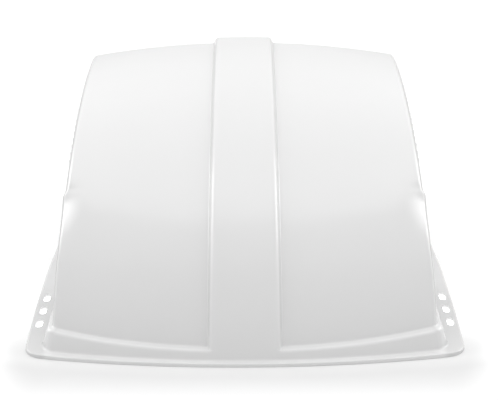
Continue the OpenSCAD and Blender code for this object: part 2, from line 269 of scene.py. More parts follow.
def panel_x(y, share):
    """Columns of a panel, closer together towards the edge that rolls over."""
    inner = RIB_SECTION[-1][0]
    share = 1.0 - (1.0 - share) ** 1.7
    return inner + (shoulder_x(y) - inner) * share


def shoulder_point(y, share):
    """A point of the rounded roof edge: share is 0 at the roof and 1 at the wall."""
    a, r, turn = roof_slope(y), shoulder_radius(y), shoulder_turn(y)
    phi = turn + (math.pi / 2 - turn) * share
    out, down = r * (math.sin(phi) - math.sin(turn)), r * (math.cos(turn) - math.cos(phi))
    return roof_point(y, shoulder_x(y), 0.0) + np.array([out, down * math.sin(a), -down * math.cos(a)])


def shoulder_start(share, z):
    """Where along the hood a line of the shoulder reaches the height z."""
    return solve(lambda y: shoulder_point(y, share)[2], z, FRONT_Y - 20, FRONT_Y + 120)


FOOT_EDGE_Z = FOOT_Z - CROWN_FRONT
STEP_TOP_Z = FOOT_EDGE_Z + STEP_RISE
ROOF_FOOT_Y = FRONT_Y + (FOOT_Z - FRONT_Z) / math.tan(NOSE_SLOPE)
ROOF_START_Y = solve(roof_height, FOOT_Z + STEP_RISE, FRONT_Y, FRONT_Y + 50)


def foot_dip(x):
    """How far in front of its side ends the foot of the roof lies, at the distance x from the middle."""
    return FOOT_DIP * (1.0 - min(x / BODY_HALF, 1.0) ** 3)


END_Y = REAR_Y - REAR_EDGE_R


def row_step(y):
    """Distance between rows at y: short where the ledge begins and at both ends."""
    if LEDGE_START_Y - 20 < y < LEDGE_START_Y + 50:
        return 1.8
    if y > 200:
        return 2.2
    if y < ROOF_START_Y + 16:
        return 2.0
    return 6.0


def row_shares():
    """The rows from the front to the rear, as shares of the length of the roof."""
    y, out = ROOF_START_Y, []
    while y < END_Y - 0.6:
        out.append(y)
        y += row_step(y)
    out.append(END_Y)
    return [(v - ROOF_START_Y) / (END_Y - ROOF_START_Y) for v in out]


ROWS = row_shares()


def station(start, share):
    """The place of a row on a line that begins at start."""
    return start + (END_Y - start) * share


LEDGE_FALL = 0.3


def wall_line(w, centre_y):
    """Points down a side wall from the foot of the shoulder w to the top of the plinth step."""
    ledge_z = min(LEDGE_Z, w[2] - min(1.0, LEDGE_FALL * max(w[2] - STEP_TOP_Z, 0.0)))
    below = lower_half(ledge_z, centre_y)
    step = max(lower_half(w[2], centre_y) - w[0], 0.0)
    share = min(step / LEDGE_IN, 1.0)
    inner = below - step
    foot = (lower_half(STEP_TOP_Z, centre_y), STEP_TOP_Z)
    pts = [(w[0], w[2]), (inner, ledge_z), (below, ledge_z - LEDGE_FALL * share), foot]
    line = rounded(pts, cuts=[1.4, 2.2], steps=[3, 5], straight=[5, 1, 7])
    return [np.array([p[0], w[1], p[1]]) for p in line]


SHOULDER_SHARES = [k / FILLET_STEPS for k in range(FILLET_STEPS + 1)]


def half_grid():
    """Right half of the upper hood: rows from front to rear, columns from the middle to the wall's foot."""
    starts = [shoulder_start(share, STEP_TOP_Z) for share in SHOULDER_SHARES]
    rows = []
    for share in ROWS:
        y = station(ROOF_START_Y, share)
        row = [roof_point(station(ROOF_START_Y - foot_dip(p[0]), share), p[0], p[1]) for p in RIB_SECTION]
        for k in range(1, PANEL_STEPS):
            x = panel_x(y, k / PANEL_STEPS)
            row.append(roof_point(station(ROOF_START_Y - foot_dip(x), share), x, 0.0))
        row += [shoulder_point(station(start, share), turn) for start, turn in zip(starts, SHOULDER_SHARES)]
        row += wall_line(row[-1], y)[1:]
        rows.append(row)
    return np.array(rows)


# The step, the raised band, the plinth and the lip follow the foot of the hood all the way round
RING_CUTS = [2.8, 3.8, 3.0, 2.6]
RING_STEPS = [4, 6, 5, 4]
RING_STRAIGHT = [0, 1, 2, 3, 1]
# The rim goes a little below the roof plane, so that no light shows under it
RIM_Z = -0.3
BAND_FALL = 0.5
# The band stands out as far as the rib, so that the rib runs into it
FRONT_OUT = (RIB_H + BAND_FALL * math.cos(NOSE_SLOPE)) / math.sin(NOSE_SLOPE)


def ring_line(u, b, n, out, slope, outline, rise, foot_z=FLANGE_T, rim_z=RIM_Z):
    """From u on the hood, over the step at b, out along the plan direction n, down the band, to the lip."""
    n3 = np.array([n[0], n[1], 0.0])
    t = b + n3 * out + np.array([0, 0, -BAND_FALL if out > 1 else 0.0])
    f = t + n3 * max(t[2] - foot_z, 0.0) / math.tan(slope)
    f[2] = foot_z
    b = b + (t - b) * rise
    o = outline(f, n)
    rim = np.array([o[0], o[1], rim_z])
    return rounded([u, b, t, f, o, rim], RING_CUTS, RING_STEPS, RING_STRAIGHT)


def lip_outline(f, n):
    """Where a line from f along n meets the front edge of the lip."""
    px, py = f[0], f[1] - LIP_CENTRE_Y
    k = px * n[0] + py * n[1]
    reach = -k + math.sqrt(k * k - (px * px + py * py - LIP_R * LIP_R))
    return np.array([f[0] + n[0] * reach, f[1] + n[1] * reach, FLANGE_T])


CORNER_X = FLANGE_HALF - LIP_CORNER_R
CORNER_Y = LIP_CENTRE_Y - math.sqrt((LIP_R - LIP_CORNER_R) ** 2 - CORNER_X ** 2)


def corner_path(start_y, stop):
    """Outline of the front corner of the flange, from the side at start_y to the point stop on the lip."""
    centre = np.array([CORNER_X, CORNER_Y])
    away = centre - np.array([0.0, LIP_CENTRE_Y])
    last = math.atan2(away[1], away[0])
    pts = [np.array([FLANGE_HALF, start_y])]
    pts += [np.array([FLANGE_HALF, start_y + (CORNER_Y - start_y) * k / 6]) for k in range(1, 6)]
    turns = [k * last / 24 for k in range(25)]
    pts += [centre + LIP_CORNER_R * np.array([math.cos(a), math.sin(a)]) for a in turns]
    a0 = math.atan2(pts[-1][1] - LIP_CENTRE_Y, pts[-1][0])
    a1 = math.atan2(stop[1] - LIP_CENTRE_Y, stop[0])
    turns = [a0 + (a1 - a0) * k / 8 for k in range(1, 9)]
    pts += [np.array([LIP_R * math.cos(a), LIP_CENTRE_Y + LIP_R * math.sin(a)]) for a in turns]
    pts = np.array(pts)
    pts[:, 0] -= flange_bow(pts[:, 1])
    return pts


def flange_bow(y):
    """How far the bowed side edge of the flange lies inside its widest line."""
    front = np.clip(FLANGE_WIDE_Y[0] - y, 0.0, None) ** 2 / (2 * FLANGE_BOW_R[0])
    rear = np.clip(y - FLANGE_WIDE_Y[1], 0.0, None) ** 2 / (2 * FLANGE_BOW_R[1])
    return np.minimum(front + rear, FLANGE_BOW_MAX)


def along_path(path, share):
    """The point at a share of the length of a plan outline."""
    steps = np.linalg.norm(np.diff(path, axis=0), axis=1)
    total = np.concatenate([[0], np.cumsum(steps)])
    s = share * total[-1]
    return np.array([np.interp(s, total, path[:, 0]), np.interp(s, total, path[:, 1]), FLANGE_T])


def flange_x(y):
    """Outer edge of the side flange, which is rounded off at its rear end."""
    start = FLANGE_END_Y - FLANGE_END_R
    widest = FLANGE_HALF - float(flange_bow(y))
    if y < start:
        return widest
    if y >= FLANGE_END_Y:
        return BODY_HALF
    return BODY_HALF + (widest - BODY_HALF) * math.sqrt(max(0.0, 1 - ((y - start) / FLANGE_END_R) ** 2))


def heel_z(y):
    """Height of the bottom edge of the side wall, which is rounded about the hinge at its rear end."""
    if y <= HINGE_Y:
        return 0.0
    return HINGE_Z - math.sqrt(max(0.0, HINGE_Z ** 2 - (y - HINGE_Y) ** 2))


def side_ring_line(u):
    """The ring below the point u at the foot of the side wall."""
    y = u[1]
    b = np.array([u[0] + STEP_RISE * math.tan(WALL_DRAFT), y, FOOT_EDGE_Z])
    out = PLINTH_OUT * (1 - float(smoothstep((y - PLINTH_END_Y + PLINTH_END_RUN) / PLINTH_END_RUN)))
    base = heel_z(y)
    foot = max(FLANGE_T, base + HEEL_EDGE)
    rim = max(RIM_Z * (y < FLANGE_END_Y), base)
    edge = max(flange_x(y), lower_half(foot))
    slope = PLINTH_SLOPE if out > 0.01 else HEEL_SLOPE
    top = foot if y < FLANGE_END_Y else foot - 0.01

    def outline(f, n):
        return np.array([max(edge, f[0]), y, top])

    return ring_line(u, b, (1.0, 0.0), out, slope, outline, 0.0, foot, rim)


def half_ring(rows):
    """Right half of the ring, from the middle of the front to the rear end of the side."""
    lines = []
    first = rows[0]
    rib_n = len(RIB_SECTION)
    roof_n = rib_n + PANEL_STEPS - 1
    half0 = edge_half(ROOF_FOOT_Y)
    lean0 = math.atan(2 * bow(ROOF_FOOT_Y) / half0)
    for j in range(roof_n):
        rise = RIB_SECTION[j][1] / RIB_H if j < rib_n else 0.0
        x = RIB_SECTION[j][0] if j < rib_n else panel_x(ROOF_FOOT_Y, (j - rib_n + 1) / PANEL_STEPS)
        b = roof_point(ROOF_FOOT_Y - foot_dip(x), x, 0.0)
        lean = math.atan(2 * bow(ROOF_FOOT_Y) * x / half0 ** 2)
        n = (math.sin(lean), -math.cos(lean))
        lines.append(ring_line(first[j], b, n, FRONT_OUT, NOSE_SLOPE, lip_outline, rise))
    wall_y = first[-1][1]
    stop = lines[-1][-1]
    path = corner_path(wall_y, stop)
    for k, share in enumerate(SHOULDER_SHARES):
        lean = lean0 + (math.pi / 2 - lean0) * share
        n = (math.sin(lean), -math.cos(lean))
        b = shoulder_point(shoulder_start(share, FOOT_EDGE_Z), share)
        out = FRONT_OUT + (PLINTH_OUT - FRONT_OUT) * share
        slope = NOSE_SLOPE + (PLINTH_SLOPE - NOSE_SLOPE) * share
        s = 1.0 - (k + 1) / (len(SHOULDER_SHARES) + 1)
        target = along_path(path, s)
        lines.append(ring_line(first[roof_n + k], b, n, out, slope, lambda f, n, t=target: t, 0.0))
    lines += [side_ring_line(row[-1]) for row in rows]
    return np.array(lines)


def mirror_x(a):
    """The same points on the other side of the middle plane."""
    b = a.copy()
    b[..., 0] *= -1
    return b


def rear_inward(top_count, side_count):
    """Direction in which each point of the last row moves as the edge rounds over into the rear wall."""
    roof_n = len(RIB_SECTION) + PANEL_STEPS - 1
    turns = [share * math.pi / 2 for share in SHOULDER_SHARES]
    half = [(0.0, -1.0)] * roof_n + [(-math.sin(t), -math.cos(t)) for t in turns]
    half += [(-1.0, 0.0)] * ((top_count + 1) // 2 - len(half) + side_count)
    half = np.array(half)
    other = half[:0:-1] * np.array([-1.0, 1.0])
    return np.concatenate([other, half])


def hood_surface():
    """Outer skin of the hood as a list of points and faces."""
    rows = half_grid()
    ring = half_ring(rows)
    full = np.concatenate([mirror_x(rows[:, :0:-1]), rows], axis=1)
    round_ring = np.concatenate([mirror_x(ring[:0:-1]), ring], axis=0)
    verts, faces = [], []

    def add_grid(g):
        base = len(verts)
        verts.extend(g.reshape(-1, 3))
        n, m = g.shape[:2]
        for i in range(n - 1):
            for j in range(m - 1):
                a = base + i * m + j
                faces.append((a, a + 1, a + m + 1, a + m))
        return base

    add_grid(full)
    add_grid(round_ring)
    end = np.concatenate([round_ring[0][:0:-1], full[-1], round_ring[-1][1:]], axis=0)
    inward = rear_inward(len(full[-1]), len(round_ring[0]) - 1)
    wrap = [end]
    for turn in (22.5, 45, 67.5, 90):
        p = math.radians(turn)
        row = end.copy()
        row[:, [0, 2]] += inward * REAR_EDGE_R * (1 - math.cos(p))
        row[:, 1] = END_Y + REAR_EDGE_R * math.sin(p)
        row[[0, -1], 2] = heel_z(END_Y + REAR_EDGE_R * math.sin(p))
        wrap.append(row)
    base = add_grid(np.array(wrap))
    m = len(end)
    last = base + (len(wrap) - 1) * m
    faces.append(tuple(range(last, last + m)))
    return np.array(verts) * MM, faces


def new_object(name, mesh):
    obj = bpy.data.objects.new(name, mesh)
    bpy.context.scene.collection.objects.link(obj)
    return obj


def bake(obj):
    """Replaces an object's mesh with the result of its modifiers."""
    bpy.context.view_layer.update()
    deps = bpy.context.evaluated_depsgraph_get()
    mesh = bpy.data.meshes.new_from_object(obj.evaluated_get(deps))
    obj.modifiers.clear()
    old = obj.data
    obj.data = mesh
    bpy.data.meshes.remove(old)
    return obj


def smooth_by_angle(mesh, degrees):
    """Smooth shading, with edges sharper than the angle kept crisp."""
    bm = bmesh.new()
    bm.from_mesh(mesh)
    limit = math.radians(degrees)
    for e in bm.edges:
        e.smooth = len(e.link_faces) == 2 and e.calc_face_angle(0.0) < limit
    for f in bm.faces:
        f.smooth = True
    bm.to_mesh(mesh)
    bm.free()


def prism(outline, start, u, v, w, depth):
    """A closed prism: an outline in the plane of u and v through start, extruded by depth along w."""
    o, u, v, w = (np.array(q, float) for q in (start, u, v, w))
    low = [o + u * p[0] + v * p[1] for p in outline]
    verts = [tuple(p * MM) for p in low] + [tuple((p + w * depth) * MM) for p in low]
    n = len(outline)
    faces = [tuple(range(n - 1, -1, -1)), tuple(range(n, 2 * n))]
    faces += [(i, (i + 1) % n, n + (i + 1) % n, n + i) for i in range(n)]
    return verts, faces


def rounded_rect(x0, x1, y0, y1, r, steps=6):
    """Outline of a rectangle with rounded corners."""
    pts = []
    centres = ((x1 - r, y1 - r), (x0 + r, y1 - r), (x0 + r, y0 + r), (x1 - r, y0 + r))
    for quarter, (cx, cy) in enumerate(centres):
        for k in range(steps + 1):
            a = math.radians(90 * quarter + 90 * k / steps)
            pts.append((cx + r * math.cos(a), cy + r * math.sin(a)))
    return pts


def circle(r, centre, steps=40):
    turns = [2 * math.pi * k / steps for k in range(steps)]
    return [(centre[0] + r * math.cos(a), centre[1] + r * math.sin(a)) for a in turns]


# How far the louvre panels reach over the edges of their windows, and the sizes of the side windows
REAR_RIM = 12.0
SIDE_RIM = 9.0
WINDOW_CORNER_R = 5.0
SIDE_WINDOW_BELOW = 17.0
SIDE_WINDOW_Y = (-40.0, 236.0)
SIDE_WINDOW_Z = 11.0
SIDE_WINDOW_TIP_CUT = 2.5


def wall_frame(s):
    """Origin and axes of the set-in upper wall on side s: outward, rearward and up the wall."""
    out = np.array([s * math.cos(UPPER_DRAFT), 0, math.sin(UPPER_DRAFT)])
    up = np.array([-s * math.sin(UPPER_DRAFT), 0, math.cos(UPPER_DRAFT)])
    return np.array([s * (lower_half(LEDGE_Z) - LEDGE_IN), 0, LEDGE_Z]), out, np.array([0, 1.0, 0]), up


def side_window_outline():
    """Outline of the side window in its wall: a straight sill and a top edge that follows the roof."""
    ys = np.linspace(SIDE_WINDOW_Y[0], SIDE_WINDOW_Y[1], 24)
    top = []
    for y in ys:
        centre_y = solve(lambda q: q + bow(q), y, FRONT_Y, REAR_Y)
        z = roof_height(centre_y) - crown(centre_y) - LEDGE_Z - SIDE_WINDOW_BELOW
        top.append(np.array((y, z)))
    sill_middle = np.array(((ys[0] + ys[-1]) / 2, SIDE_WINDOW_Z))
    sill_rear = np.array((ys[-1], SIDE_WINDOW_Z))
    sill_front = np.array((ys[0], SIDE_WINDOW_Z))
    loop = rounded([sill_middle, sill_rear, top[-1], top[-2]],
                   cuts=[WINDOW_CORNER_R, WINDOW_CORNER_R], steps=[5, 5], straight=[0, 0, 0])
    loop += top[-3:1:-1]
    loop += rounded([top[1], top[0], sill_front, sill_middle],
                    cuts=[SIDE_WINDOW_TIP_CUT, SIDE_WINDOW_TIP_CUT], steps=[5, 5], straight=[0, 0, 0])[:-1]
    return loop


# How far the cutting prisms reach to each side of the wall they go through
CUT_REACH = 8.0
BORE_REACH = 10.0
BORE_R = 6.05
SLOT_CUT_LOW = -3.0
SLOT_CUT_DEPTH = 14.0
# The rear wall ends at the hinge height, so that it clears the brackets when the hood tips back
FOOT_CUT_LOW = -3.0
FOOT_CUT_BACK = 5.5
X_AXIS, Y_AXIS, Z_AXIS = (1, 0, 0), (0, 1, 0), (0, 0, 1)


def window_prisms():
    """The rear window and the two side windows."""
    low, high = box_mm("rear_louvre_panel")
    rear = rounded_rect(low[0] + REAR_RIM, high[0] - REAR_RIM, low[2] + REAR_RIM, high[2] - REAR_RIM,
                        WINDOW_CORNER_R)
    parts = [prism(rear, (0, REAR_Y - CUT_REACH, 0), X_AXIS, Z_AXIS, Y_AXIS, 2 * CUT_REACH)]
    for s in (-1, 1):
        origin, out, back, up = wall_frame(s)
        parts.append(prism(side_window_outline(), origin - out * CUT_REACH, back, up, out, 2 * CUT_REACH))
    return parts


def slot_prisms():
    """Two slots for each slot mount of the record; the mounts share some of them."""
    slots = set()
    for mount in frame["record"]["mounts"]:
        dims = mount["dims"]
        if not dims.get("slot_length_mm"):
            continue
        for end in (-1, 1):
            x = round(mount["pos_m"][0] / MM, 3)
            y = round(mount["pos_m"][1] / MM + end * dims["spacing_y_mm"] / 2, 3)
            slots.add((x, y, dims["hole_r_mm"], dims["slot_length_mm"]))
    parts = []
    for x, y, r, length in sorted(slots):
        outline = rounded_rect(x - r, x + r, y - length / 2, y + length / 2, r - 0.01)
        parts.append(prism(outline, (0, 0, SLOT_CUT_LOW), X_AXIS, Y_AXIS, Z_AXIS, SLOT_CUT_DEPTH))
    return parts


def bore_prisms():
    """The holes for the four bushings."""
    parts = []
    for side in ("left", "right"):
        for kind in ("hinge", "latch"):
            low, high = box_mm(f"{side}_{kind}_bushing")
            mid = (low + high) / 2
            parts.append(prism(circle(BORE_R, mid[1:]), (mid[0] - BORE_REACH, 0, 0), Y_AXIS, Z_AXIS, X_AXIS,
                               2 * BORE_REACH))
    return parts


def foot_prism():
    """The part of the rear wall that is left out below the hinge."""
    inner = BODY_HALF - WALL_T
    foot = [(-inner, FOOT_CUT_LOW), (inner, FOOT_CUT_LOW), (inner, HINGE_Z), (-inner, HINGE_Z)]
    return prism(foot, (0, REAR_Y - FOOT_CUT_BACK, 0), X_AXIS, Z_AXIS, Y_AXIS, 2 * FOOT_CUT_BACK)


def joined(parts):
    """Points and faces of several closed parts as one list each."""
    verts, faces = [], []
    for part_verts, part_faces in parts:
        base = len(verts)
        verts.extend(part_verts)
        faces.extend(tuple(base + i for i in f) for f in part_faces)
    return verts, faces


def closed_object(name, parts):
    """An object of closed parts, with all faces turned outward."""
    verts, faces = joined(parts)
    mesh = bpy.data.meshes.new(name)
    mesh.from_pydata(verts, [], faces)
    bm = bmesh.new()
    bm.from_mesh(mesh)
    bmesh.ops.recalc_face_normals(bm, faces=bm.faces)
    bm.to_mesh(mesh)
    bm.free()
    return new_object(name, mesh)


def hood_cutters():
    """One mesh with a closed prism for each opening through the hood."""
    return closed_object("cutters", window_prisms() + slot_prisms() + bore_prisms() + [foot_prism()])


MERGE_DISTANCE = 0.03
SLIVER_DISTANCE = 0.01
CRISP_ANGLE = 38


def build_hood():
    """The moulding: its outer skin thickened inward, with the openings cut through it."""
    verts, faces = hood_surface()
    mesh = bpy.data.meshes.new("hood")
    mesh.from_pydata([tuple(v) for v in verts], [], faces)
    bm = bmesh.new()
    bm.from_mesh(mesh)
    bmesh.ops.remove_doubles(bm, verts=bm.verts, dist=MERGE_DISTANCE * MM)
    bmesh.ops.dissolve_degenerate(bm, edges=bm.edges, dist=SLIVER_DISTANCE * MM)
    bmesh.ops.recalc_face_normals(bm, faces=bm.faces)
    top = max(bm.faces, key=lambda f: f.calc_center_median().z)
    if top.normal.z < 0:
        bmesh.ops.reverse_faces(bm, faces=bm.faces)
    bm.to_mesh(mesh)
    bm.free()
    hood = new_object("hood_moulding", mesh)
    solid = hood.modifiers.new("wall", "SOLIDIFY")
    solid.thickness = WALL_T * MM
    solid.offset = -1.0
    bake(hood)
    cutters = hood_cutters()
    cut = hood.modifiers.new("openings", "BOOLEAN")
    cut.operation = "DIFFERENCE"
    cut.use_hole_tolerant = True
    cut.solver = "EXACT"
    cut.object = cutters
    bake(hood)
    cut_mesh = cutters.data
    bpy.data.objects.remove(cutters)
    bpy.data.meshes.remove(cut_mesh)
    smooth_by_angle(hood.data, CRISP_ANGLE)
    weighted = hood.modifiers.new("flat_first", "WEIGHTED_NORMAL")
    weighted.keep_sharp = True
    weighted.weight = 80
    bake(hood)
    return hood


# Materials -----------------------------------------------------------------------------------------------


def node_material(name):
    mat = bpy.data.materials.new(name)
    mat.use_nodes = True
    nt = mat.node_tree
    return mat, nt, nt.nodes["Principled BSDF"]


def math_node(nt, operation, a, b):
    """A Math node: a and b are node outputs or plain numbers."""
    node = nt.nodes.new("ShaderNodeMath")
    node.operation = operation
    for socket, value in zip(node.inputs, (a, b)):
        if isinstance(value, (int, float)):
            socket.default_value = value
        else:
            nt.links.new(value, socket)
    return node.outputs[0]


def ramp_between(nt, value, low, high):
    """0 below low, 1 above high, smooth between; low may be the larger one."""
    node = nt.nodes.new("ShaderNodeMapRange")
    node.interpolation_type = "SMOOTHSTEP"
    node.inputs["From Min"].default_value = low
    node.inputs["From Max"].default_value = high
    nt.links.new(value, node.inputs["Value"])
    return node.outputs["Result"]


def noise(nt, scale, detail, rough=0.5):
    """Noise fixed to the object."""
    n = nt.nodes.new("ShaderNodeTexNoise")
    n.inputs["Scale"].default_value = scale
    n.inputs["Detail"].default_value = detail
    n.inputs["Roughness"].default_value = rough
    coord = nt.nodes.get("place") or nt.nodes.new("ShaderNodeTexCoord")
    coord.name = "place"
    nt.links.new(coord.outputs["Object"], n.inputs["Vector"])
    return n.outputs["Fac"]


def spread(nt, value, low, high):
    """Stretches a value from 0 to 1 over the range from low to high."""
    m = nt.nodes.new("ShaderNodeMapRange")
    m.inputs["To Min"].default_value = low
    m.inputs["To Max"].default_value = high
    nt.links.new(value, m.inputs["Value"])
    return m.outputs["Result"]


def bump(nt, bsdf, height, strength, distance):
    b = nt.nodes.new("ShaderNodeBump")
    b.inputs["Strength"].default_value = strength
    b.inputs["Distance"].default_value = distance
    nt.links.new(height, b.inputs["Height"])
    nt.links.new(b.outputs["Normal"], bsdf.inputs["Normal"])


def tint(nt, bsdf, value, dark, light):
    """Base colour between dark and light, after a value from 0 to 1."""
    ramp = nt.nodes.new("ShaderNodeValToRGB")
    ramp.color_ramp.elements[0].color = (*dark, 1)
    ramp.color_ramp.elements[1].color = (*light, 1)
    nt.links.new(value, ramp.inputs["Fac"])
    nt.links.new(ramp.outputs["Color"], bsdf.inputs["Base Color"])


def moulded_plastic(name, dark, light, rough, grain, grain_depth):
    """Moulded plastic: slow tone variation, faint flow marks and a fine surface grain."""
    mat, nt, bsdf = node_material(name)
    tint(nt, bsdf, noise(nt, 9, 4), dark, light)
    nt.links.new(spread(nt, noise(nt, 60, 5), rough - 0.03, rough + 0.04), bsdf.inputs["Roughness"])
    bump(nt, bsdf, noise(nt, grain, 3), 0.12, grain_depth)
    bsdf.inputs["IOR"].default_value = 1.5
    return mat


def metal(name, dark, light, rough, grain=400):
    """Plated or drawn metal with uneven gloss."""
    mat, nt, bsdf = node_material(name)
    tint(nt, bsdf, noise(nt, 140, 6, 0.6), dark, light)
    bsdf.inputs["Metallic"].default_value = 1.0
    nt.links.new(spread(nt, noise(nt, grain, 6, 0.7), rough - 0.06, rough + 0.1), bsdf.inputs["Roughness"])
    bump(nt, bsdf, noise(nt, grain * 2, 3), 0.15, 0.00003)
    return mat


# Painted shade: surfaces that face sideways, where they turn away from the viewer, get a darker base colour
# and less gloss, standing in for a dark studio side seen in them
EDGE_SIDEWAYS = (0.53, 0.62)
EDGE_ABOVE = (0.022, 0.036)
EDGE_FACING = (0.42, 0.52)
EDGE_SHADE_TONE = 0.80
EDGE_GLOSS = 0.1
RIB_EDGE_SHARE = 0.5
RIB_TO_PANEL_X = (0.05, 0.15)
# Painted shade: the front ends of the side flanges are darkened, standing in for the shade of the hood walls
# beside them
FLANGE_SHADE_Y = (-0.07, -0.15)
FLANGE_SHADE_X = (0.224, 0.232)
FLANGE_SHADE_Z = (0.012, 0.006)
FLANGE_SHADE_TONE = 0.88


def shade_turned_edges(mat):
    """Darkens the turned edges and the front ends of the flanges of the hood with painted shade."""
    nt = mat.node_tree
    bsdf = nt.nodes["Principled BSDF"]
    coord = nt.nodes.new("ShaderNodeTexCoord")
    axes = nt.nodes.new("ShaderNodeSeparateXYZ")
    nt.links.new(coord.outputs["Normal"], axes.inputs["Vector"])
    weight = nt.nodes.new("ShaderNodeLayerWeight")
    sideways = ramp_between(nt, math_node(nt, "ABSOLUTE", axes.outputs["X"], 0.0), *EDGE_SIDEWAYS)
    turned = ramp_between(nt, weight.outputs["Facing"], *EDGE_FACING)
    place = nt.nodes.new("ShaderNodeSeparateXYZ")
    nt.links.new(coord.outputs["Object"], place.inputs["Vector"])
    from_middle = math_node(nt, "ABSOLUTE", place.outputs["X"], 0.0)
    outer = ramp_between(nt, from_middle, *RIB_TO_PANEL_X)
    share = math_node(nt, "ADD", math_node(nt, "MULTIPLY", outer, 1.0 - RIB_EDGE_SHARE), RIB_EDGE_SHARE)
    share = math_node(nt, "MULTIPLY", share, ramp_between(nt, place.outputs["Z"], *EDGE_ABOVE))
    # painted shade on the turned edges: strength of the darkening and of the lost gloss
    edge_shade = math_node(nt, "MULTIPLY", math_node(nt, "MULTIPLY", sideways, turned), share)
    # painted shade on the front ends of the flanges
    flange = math_node(nt, "MULTIPLY", ramp_between(nt, from_middle, *FLANGE_SHADE_X),
                       ramp_between(nt, place.outputs["Z"], *FLANGE_SHADE_Z))
    flange = math_node(nt, "MULTIPLY", flange, ramp_between(nt, place.outputs["Y"], *FLANGE_SHADE_Y))
    colour = bsdf.inputs["Base Color"].links[0].from_socket
    scaled = nt.nodes.new("ShaderNodeVectorMath")
    scaled.operation = "SCALE"
    nt.links.new(colour, scaled.inputs[0])
    tone = math_node(nt, "MULTIPLY", spread(nt, edge_shade, 1.0, EDGE_SHADE_TONE), spread(nt, flange, 1.0, FLANGE_SHADE_TONE))
    nt.links.new(tone, scaled.inputs["Scale"])
    nt.links.new(scaled.outputs["Vector"], bsdf.inputs["Base Color"])
    nt.links.new(spread(nt, edge_shade, 0.5, EDGE_GLOSS), bsdf.inputs["Specular IOR Level"])
    return mat


def grey(level):
    return (level, level, level)


MATERIALS = {
    "hood_plastic": shade_turned_edges(
        moulded_plastic("hood_plastic", grey(0.74), grey(0.76), 0.09, 260, 0.00001)),
    "louvre_plastic": moulded_plastic("louvre_plastic", grey(0.76), grey(0.80), 0.26, 500, 0.00006),
    "frame_plastic": moulded_plastic("frame_plastic", grey(0.66), grey(0.71), 0.45, 900, 0.0001),
    "nylon": moulded_plastic("nylon", (0.74, 0.72, 0.64), (0.80, 0.79, 0.72), 0.38, 700, 0.00006),
    "screen_mesh": metal("screen_mesh", (0.16, 0.165, 0.17), (0.26, 0.265, 0.27), 0.45),
    "stainless_screws": metal("stainless_screws", grey(0.52), grey(0.62), 0.28),
    "zinc_plated_steel": metal("zinc_plated_steel", (0.50, 0.52, 0.54), (0.64, 0.66, 0.68), 0.34, 250),
    "pin_steel": metal("pin_steel", (0.55, 0.55, 0.56), (0.66, 0.66, 0.67), 0.22, 600),
    "ring_steel": metal("ring_steel", (0.62, 0.62, 0.63), (0.74, 0.74, 0.75), 0.15, 600),
    "spring_steel": metal("spring_steel", (0.48, 0.48, 0.50), (0.60, 0.60, 0.62), 0.2, 600),
}
SLOT_OF = {s["node"]: s["material_slot"] for s in frame["record"]["subparts"]}


def finish_piece(obj, node, body, *nodes):
    """Gives a new piece its material and body, and lets it stand for CAD nodes."""
    slot = SLOT_OF[node]
    obj.data.materials.clear()
    obj.data.materials.append(MATERIALS[slot])
    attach(obj, body)
    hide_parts(*(nodes or (node,)))


hood = build_hood()
finish_piece(hood, "hood_shell", "hood")


def inside_span(outline, grow, point, direction):
    """The stretch of a line that lies inside a convex outline grown by a margin, or None."""
    centre = sum(outline) / len(outline)
    low, high = -1e6, 1e6
    for a, b in zip(outline, outline[1:] + outline[:1]):
        edge = b - a
        length = float(np.hypot(*edge))
        if length < 1e-6:
            continue
        n = np.array([edge[1], -edge[0]]) / length
        if n @ (a - centre) < 0:
            n = -n
        room, rate = n @ (a - point) + grow, n @ direction
        if abs(rate) < 1e-9:
            if room < 0:
                return None
        elif rate > 0:
            high = min(high, room / rate)
        else:
            low = max(low, room / rate)
    return (low, high) if high - low > 1.0 else None


def wire(start, end, radius, u, w):
    """A straight closed wire of six sides; u and w are square to it."""
    turns = [math.radians(60 * k) for k in range(6)]
    ring = [(math.cos(a) * radius, math.sin(a) * radius) for a in turns]
    verts = [tuple((p + u * c + w * d) * MM) for p in (start, end) for c, d in ring]
    faces = [tuple(range(5, -1, -1)), tuple(range(6, 12))]
    faces += [(k, (k + 1) % 6, 6 + (k + 1) % 6, 6 + k) for k in range(6)]
    return verts, faces


SCREEN_PITCH = 2.4
SCREEN_T = 0.8
SCREEN_CRISP_ANGLE = 65
# How far a side screen reaches over the edge of its window
SCREEN_OVERLAP = SIDE_RIM - 1.0
# Inner face of a side screen, measured outward from the outer face of the upper wall
SCREEN_IN = -(WALL_T + PANEL_T + 2 * SEAT_GAP + SCREEN_T)


def build_screen(name, outline, grow, origin, u, v, w, depth):
    """Crossed wires over the outline in the plane of u and v; w goes through the screen."""
    radius = depth / 4
    corners = np.array(outline)
    parts = []
    for along_axis, layer in ((0, radius), (1, depth - radius)):
        across = 1 - along_axis
        direction = np.eye(2)[along_axis]
        low, high = corners[:, across].min() - grow, corners[:, across].max() + grow
        count = int((high - low) / SCREEN_PITCH)
        first = (low + high - count * SCREEN_PITCH) / 2
        for k in range(count + 1):
            point = np.zeros(2)
            point[across] = first + k * SCREEN_PITCH
            span = inside_span([np.array(q) for q in outline], grow, point, direction)
            if span is None:
                continue
            ends = [point + direction * t for t in span]
            a, b = (origin + u * e[0] + v * e[1] + w * layer for e in ends)
            parts.append(wire(a, b, radius, (u, v)[across], w))
    obj = closed_object(name, parts)
    smooth_by_angle(obj.data, SCREEN_CRISP_ANGLE)
    return obj


def build_rear_screen():
    low, high = box_mm("rear_insect_screen")
    outline = rounded_rect(low[0], high[0], low[2], high[2], WINDOW_CORNER_R)
    axes = [np.array(a, float) for a in (X_AXIS, Z_AXIS, Y_AXIS)]
    return build_screen("rear_wire_screen", outline, 0.0, np.array([0, low[1], 0]), *axes, high[1] - low[1])


def build_side_screen(s, name):
    origin, out, back, up = wall_frame(s)
    return build_screen(name, side_window_outline(), SCREEN_OVERLAP, origin + out * SCREEN_IN,
                        back, up, out, SCREEN_T)


